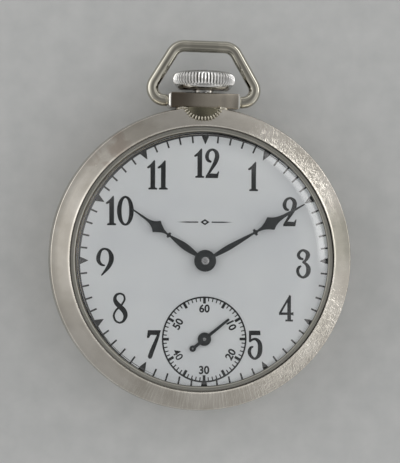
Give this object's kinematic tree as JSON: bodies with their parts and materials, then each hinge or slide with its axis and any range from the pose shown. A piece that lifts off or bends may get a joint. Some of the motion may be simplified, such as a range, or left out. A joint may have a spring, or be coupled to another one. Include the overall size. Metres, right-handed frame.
{
  "type": "open face pocket watch",
  "caption": "Round open face pocket watch with a domed crystal, swinging bow, pull-out crown, seconds subdial, black hands and a spring-driven lever movement inside.",
  "frame": {"origin": "middle of the flat rest face on the case back", "axes": "+Z out of the dial along the watch's axis, +Y towards the crown and bow, +X towards 3 o'clock"},
  "size_m": [0.05, 0.0611, 0.013],
  "materials": {
    "case_nickel": "brushed nickel silver, worn and lightly scratched",
    "bright_plate": "bright plated, knurled crown and polished ring",
    "crystal": "clear domed acrylic",
    "dial_enamel": "satin blue-white printed dial",
    "hand_black": "black lacquer, semi-gloss",
    "brass": "lacquered brass, fine grain",
    "movement_nickel": "nickelled, straight grained",
    "blued_steel": "heat-blued, polished",
    "steel": "hardened steel, fine grain"
  },
  "bodies": {
    "case": {"case_body": "case_nickel", "pendant_neck": "case_nickel", "pendant_bar": "case_nickel", "movement_ring": "brass", "dial": "dial_enamel", "back_plate": "brass", "front_plate": "brass", "pillar_1": "brass", "pillar_2": "brass", "pillar_3": "brass", "pillar_4": "brass", "plate_screw_1": "blued_steel", "plate_screw_2": "blued_steel", "plate_screw_3": "blued_steel", "plate_screw_4": "blued_steel", "balance_cock": "movement_nickel", "cock_screw": "blued_steel", "click_spring": "blued_steel"},
    "back_cover": {"back_cover": "case_nickel"},
    "bezel": {"bezel_ring": "bright_plate", "crystal": "crystal"},
    "bow": {"bow": "case_nickel"},
    "winding_pinion": {"winding_pinion": "steel"},
    "crown": {"crown": "bright_plate", "winding_stem": "steel"},
    "clutch": {"clutch_wheel": "steel"},
    "setting_lever": {"setting_lever": "steel"},
    "yoke": {"yoke": "steel"},
    "crown_wheel": {"crown_wheel": "steel", "crown_wheel_arbor": "steel", "crown_gear": "steel"},
    "ratchet": {"ratchet_wheel": "steel", "ratchet_screw": "blued_steel", "barrel_arbor": "steel"},
    "click": {"click": "steel"},
    "barrel": {"mainspring_barrel": "brass", "barrel_cover": "brass", "mainspring": "blued_steel"},
    "centre_wheel": {"centre_wheel": "brass", "centre_arbor": "steel"},
    "third_wheel": {"third_wheel": "brass", "third_arbor": "steel"},
    "seconds": {"fourth_wheel": "brass", "fourth_arbor": "steel", "second_hand": "hand_black"},
    "escape_wheel": {"escape_wheel": "steel", "escape_arbor": "steel"},
    "pallet_lever": {"pallet_lever": "steel"},
    "balance": {"balance_wheel": "brass", "balance_staff": "steel", "hairspring": "blued_steel"},
    "regulator": {"regulator": "steel"},
    "minute_hand": {"minute_hand": "hand_black", "cannon_pinion": "steel"},
    "minute_wheel": {"minute_wheel": "brass", "minute_pinion": "steel"},
    "hour_hand": {"hour_hand": "hand_black", "hour_wheel": "brass"},
    "setting_wheel": {"setting_wheel": "steel"}
  },
  "joints": [
    {"name": "bow_swing", "type": "hinge", "parent": "case", "child": "bow", "pos_m": [0, 0.02607, 0.0054], "axis": [1, 0, 0], "range_deg": [-100, 100]},
    {"name": "crown_turn", "type": "hinge", "parent": "case", "child": "winding_pinion", "pos_m": [0, 0, 0.0054], "axis": [0, 1, 0], "continuous": true},
    {"name": "crown_pull", "type": "slide", "parent": "winding_pinion", "child": "crown", "axis": [0, 1, 0], "range_m": [0, 0.001]},
    {"name": "clutch_shift", "type": "slide", "parent": "winding_pinion", "child": "clutch", "axis": [0, 1, 0], "range_m": [-0.001, 0]},
    {"name": "setting_lever_swing", "type": "hinge", "parent": "case", "child": "setting_lever", "pos_m": [0.0042, 0.018, 0], "axis": [0, 0, 1], "range_deg": [-14.6, 0]},
    {"name": "yoke_swing", "type": "hinge", "parent": "case", "child": "yoke", "pos_m": [-0.0045, 0.0139, 0], "axis": [0, 0, 1], "range_deg": [-17.6, 0]},
    {"name": "crown_wheel_turn", "type": "hinge", "parent": "case", "child": "crown_wheel", "pos_m": [0, 0.014, 0], "axis": [0, 0, 1], "continuous": true},
    {"name": "ratchet_turn", "type": "hinge", "parent": "case", "child": "ratchet", "pos_m": [-0.00851, 0.00298, 0], "axis": [0, 0, 1], "continuous": true},
    {"name": "click_swing", "type": "hinge", "parent": "case", "child": "click", "pos_m": [0.0008, -0.00323, 0], "axis": [0, 0, 1], "range_deg": [0, 6]},
    {"name": "seconds_turn", "type": "hinge", "parent": "case", "child": "seconds", "pos_m": [0.00067, -0.01307, 0], "axis": [0, 0, 1], "continuous": true},
    {"name": "third_wheel_turn", "type": "hinge", "parent": "case", "child": "third_wheel", "pos_m": [0.00239, -0.0072, 0], "axis": [0, 0, 1], "continuous": true},
    {"name": "centre_wheel_turn", "type": "hinge", "parent": "case", "child": "centre_wheel", "pos_m": [0.00042, -0.00027, 0], "axis": [0, 0, 1], "continuous": true},
    {"name": "barrel_turn", "type": "hinge", "parent": "case", "child": "barrel", "pos_m": [-0.00851, 0.00298, 0], "axis": [0, 0, 1], "continuous": true},
    {"name": "escape_wheel_turn", "type": "hinge", "parent": "case", "child": "escape_wheel", "pos_m": [0.00609, -0.01354, 0], "axis": [0, 0, 1], "continuous": true},
    {"name": "pallet_swing", "type": "hinge", "parent": "case", "child": "pallet_lever", "pos_m": [0.00847, -0.00996, 0], "axis": [0, 0, 1], "range_deg": [-6, 6]},
    {"name": "balance_swing", "type": "hinge", "parent": "case", "child": "balance", "pos_m": [0.01314, -0.00297, 0], "axis": [0, 0, 1], "range_deg": [-220, 220], "deforming": ["hairspring"]},
    {"name": "regulator_swing", "type": "hinge", "parent": "case", "child": "regulator", "pos_m": [0.01314, -0.00297, 0], "axis": [0, 0, 1], "range_deg": [-20, 20]},
    {"name": "minute_hand_turn", "type": "hinge", "parent": "case", "child": "minute_hand", "pos_m": [0.00042, -0.00027, 0], "axis": [0, 0, 1], "continuous": true},
    {"name": "minute_wheel_turn", "type": "hinge", "parent": "case", "child": "minute_wheel", "pos_m": [0.00033, 0.00453, 0], "axis": [0, 0, 1], "continuous": true},
    {"name": "hour_hand_turn", "type": "hinge", "parent": "case", "child": "hour_hand", "pos_m": [0.00042, -0.00027, 0], "axis": [0, 0, 1], "continuous": true},
    {"name": "setting_wheel_turn", "type": "hinge", "parent": "case", "child": "setting_wheel", "pos_m": [0.00024, 0.00933, 0], "axis": [0, 0, 1], "continuous": true},
    {"name": "bezel_lift", "type": "slide", "parent": "case", "child": "bezel", "axis": [0, 0, 1], "range_m": [0, 0.01]},
    {"name": "back_cover_lift", "type": "slide", "parent": "case", "child": "back_cover", "axis": [0, 0, -1], "range_m": [0, 0.01]}
  ],
  "couplings": [
    {"joint": "clutch_shift", "follows": "crown_pull", "ratio": -1},
    {"joint": "setting_lever_swing", "follows": "crown_pull", "rad_per_m": -253},
    {"joint": "yoke_swing", "follows": "crown_pull", "rad_per_m": -304},
    {"joint": "crown_wheel_turn", "follows": "crown_turn", "ratio": 0.5},
    {"joint": "ratchet_turn", "follows": "crown_turn", "ratio": -0.3},
    {"joint": "third_wheel_turn", "follows": "seconds_turn", "ratio": -0.13333},
    {"joint": "centre_wheel_turn", "follows": "seconds_turn", "ratio": 0.016667},
    {"joint": "barrel_turn", "follows": "seconds_turn", "ratio": -0.0025253},
    {"joint": "escape_wheel_turn", "follows": "seconds_turn", "ratio": -7.5},
    {"joint": "minute_wheel_turn", "follows": "minute_hand_turn", "ratio": -0.33333},
    {"joint": "hour_hand_turn", "follows": "minute_hand_turn", "ratio": 0.083333},
    {"joint": "setting_wheel_turn", "follows": "minute_hand_turn", "ratio": 1}
  ]
}
